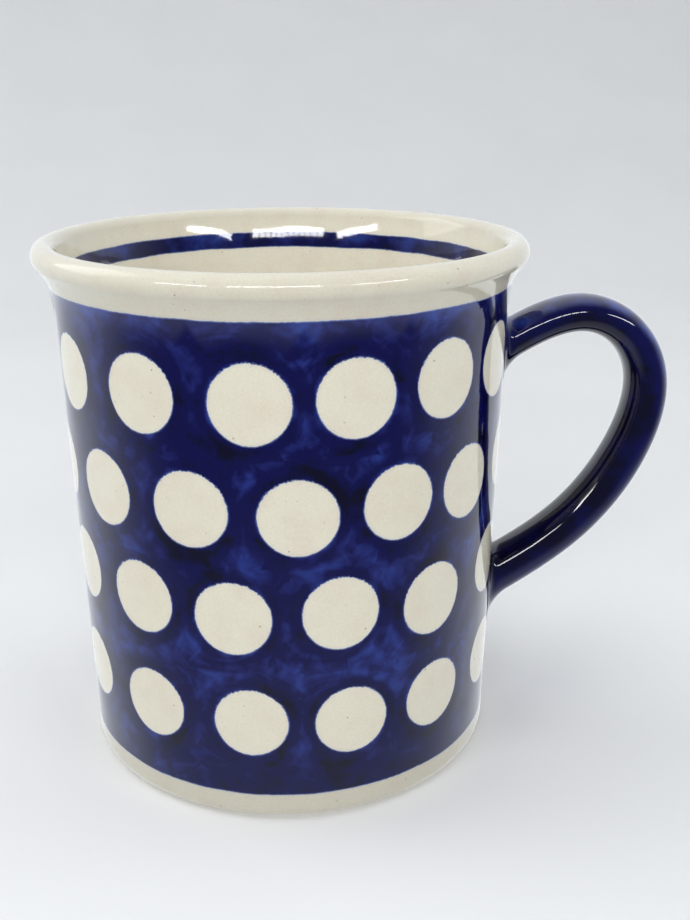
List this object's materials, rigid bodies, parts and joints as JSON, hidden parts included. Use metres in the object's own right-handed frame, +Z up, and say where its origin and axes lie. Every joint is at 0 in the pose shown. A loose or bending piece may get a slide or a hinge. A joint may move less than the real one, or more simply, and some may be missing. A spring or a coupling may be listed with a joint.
{
  "type": "glazed stoneware mug",
  "caption": "Straight-sided glazed stoneware mug with a flared rolled lip, an ear-shaped side handle and a cobalt ground left open in rows of cream dots.",
  "frame": {"origin": "centre of the foot ring, in the plane the mug stands on", "axes": "+Z up the cup's axis to the mouth, +X from the axis to the handle, +Y the remaining right-handed axis"},
  "size_m": [0.12, 0.0904, 0.0989],
  "materials": {
    "stoneware_clay": "fired cream clay, matt where it is bare on the foot ring, fine dark specks",
    "clay_slip": "fired slip of the same clay",
    "cobalt": "brushed deep blue under a clear gloss glaze, lighter where thin",
    "clear_glaze": "clear gloss glaze, cream where it lies on bare clay"
  },
  "bodies": {
    "root": {"cup_body": "stoneware_clay", "handle": "stoneware_clay", "upper_slip_joint": "clay_slip", "lower_slip_joint": "clay_slip", "cobalt_ground": "cobalt", "inner_cobalt_band": "cobalt", "handle_cobalt": "cobalt", "outside_glaze": "clear_glaze", "inside_glaze": "clear_glaze", "handle_glaze": "clear_glaze", "base_glaze": "clear_glaze"}
  },
  "joints": []
}
